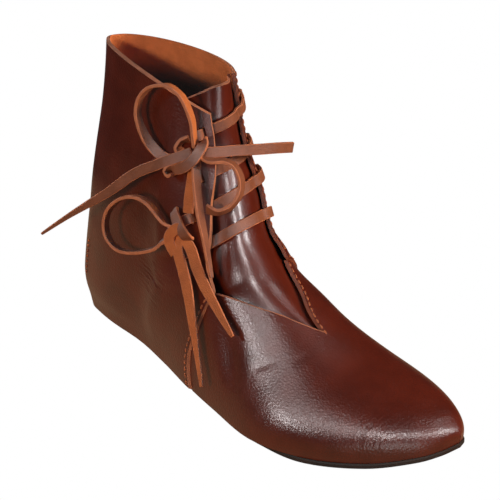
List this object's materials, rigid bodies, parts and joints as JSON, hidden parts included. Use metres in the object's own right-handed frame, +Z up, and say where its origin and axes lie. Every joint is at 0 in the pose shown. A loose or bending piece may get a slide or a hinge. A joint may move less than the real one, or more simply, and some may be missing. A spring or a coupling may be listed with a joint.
{
  "type": "ankle shoe",
  "caption": "Soft leather ankle shoe for the right foot, laced at the outer side over a sewn-in tongue, with a thin flat sole and long tied leather laces.",
  "frame": {"origin": "bottom centre of the shoe's box without its free lace strips, on the plane of the sole", "axes": "+X to the toe, +Y to the medial side of the foot, +Z up"},
  "size_m": [0.279, 0.0962, 0.174],
  "materials": {
    "outsole": "near-black sole leather, matt",
    "insole": "tan leather, flesh side, matt",
    "upper": "dark red-brown full-grain leather, oiled, semi-gloss; tan suede inside",
    "tongue": "dark red-brown full-grain leather, semi-gloss",
    "upper_lace": "tan-brown cut leather strip, satin",
    "lower_lace": "tan-brown cut leather strip, satin"
  },
  "bodies": {
    "root": {"outsole": "outsole", "insole": "insole", "upper": "upper", "tongue": "tongue", "upper_lace_bars": "upper_lace", "lower_lace_bars": "lower_lace", "upper_lace_knot": "upper_lace", "upper_lace_loop_rear": "upper_lace", "upper_lace_loop_front": "upper_lace", "upper_lace_end_rear": "upper_lace", "upper_lace_end_front": "upper_lace", "upper_lace_tail_short": "upper_lace", "upper_lace_tail_long": "upper_lace", "lower_lace_knot": "lower_lace", "lower_lace_loop": "lower_lace", "lower_lace_end_rear": "lower_lace", "lower_lace_end_front": "lower_lace"}
  },
  "joints": []
}
